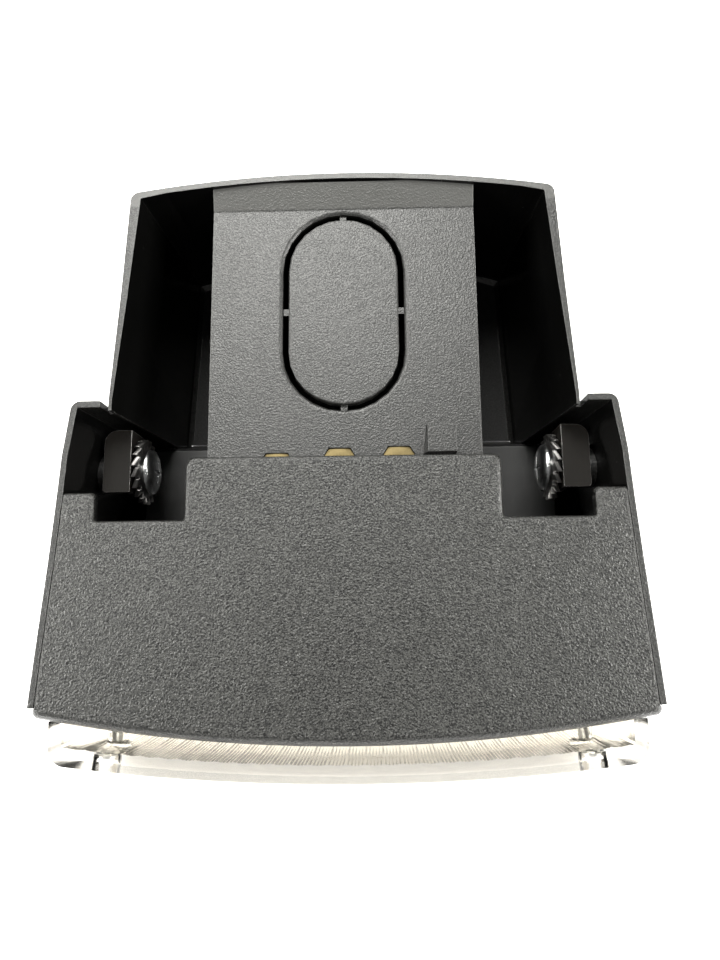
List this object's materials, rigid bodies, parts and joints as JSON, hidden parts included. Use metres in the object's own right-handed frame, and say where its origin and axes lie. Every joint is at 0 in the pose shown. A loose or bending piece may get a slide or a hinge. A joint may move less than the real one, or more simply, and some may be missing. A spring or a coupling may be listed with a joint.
{
  "type": "hooded lamp head",
  "caption": "Compact hooded lamp head with a clear fluted lens, a covered lamp chamber, a terminal column with a break-out cable entry and tilting side brackets.",
  "frame": {"origin": "centre of the bounding box at the hood's closed face, on which the part lies", "axes": "+X to the right across the lamp, +Y from the lens to the narrow rear end, +Z from the hood's closed face to its open rim"},
  "size_m": [0.1112, 0.1154, 0.042],
  "materials": {
    "hood_plastic": "fine leather grain, black",
    "cover_plastic": "fine leather grain, black",
    "chamber_plastic": "smooth satin, black",
    "reflector_coating": "metallised mirror",
    "clear_lens": "clear, fluted inside",
    "gasket_rubber": "matt",
    "bulb_glass": "clear",
    "bulb_cap": "nickel plated",
    "filament_wire": "drawn wire",
    "holder_plastic": "satin",
    "terminal_resin": "satin",
    "brass": "turned and stamped",
    "bracket_steel": "browned, drawn grain",
    "zinc_steel": "zinc plated",
    "black_steel": "blackened spring steel"
  },
  "bodies": {
    "lamp_head": {"front_housing": "hood_plastic", "rear_housing": "hood_plastic", "front_cover": "cover_plastic", "lamp_chamber": "chamber_plastic", "reflector": "reflector_coating", "lens": "clear_lens", "lens_gasket": "gasket_rubber", "terminal_block": "terminal_resin", "bulb_holder_left": "holder_plastic", "bulb_cap_left": "bulb_cap", "bulb_glass_left": "bulb_glass", "bulb_filament_left": "filament_wire", "tooth_washer_left": "black_steel", "pivot_screw_left": "zinc_steel", "pivot_insert_left": "brass", "lens_screw_left": "zinc_steel", "housing_screw_left_1": "zinc_steel", "housing_screw_left_2": "zinc_steel", "bulb_holder_right": "holder_plastic", "bulb_cap_right": "bulb_cap", "bulb_glass_right": "bulb_glass", "bulb_filament_right": "filament_wire", "tooth_washer_right": "black_steel", "pivot_screw_right": "zinc_steel", "pivot_insert_right": "brass", "lens_screw_right": "zinc_steel", "housing_screw_right_1": "zinc_steel", "housing_screw_right_2": "zinc_steel", "terminal_nut_1": "brass", "terminal_stud_1": "brass", "contact_strip_1": "brass", "terminal_nut_2": "brass", "terminal_stud_2": "brass", "contact_strip_2": "brass", "terminal_nut_3": "brass", "terminal_stud_3": "brass", "contact_strip_3": "brass"},
    "bracket_left": {"bracket_left": "bracket_steel"},
    "bracket_right": {"bracket_right": "bracket_steel"}
  },
  "joints": [
    {"name": "bracket_left_tilt", "type": "hinge", "parent": "lamp_head", "child": "bracket_left", "pos_m": [-0.043, 0.00137, 0.025], "axis": [1, 0, 0], "range_deg": [-8, 35]},
    {"name": "bracket_right_tilt", "type": "hinge", "parent": "lamp_head", "child": "bracket_right", "pos_m": [0.043, 0.00137, 0.025], "axis": [1, 0, 0], "range_deg": [-8, 35]}
  ]
}
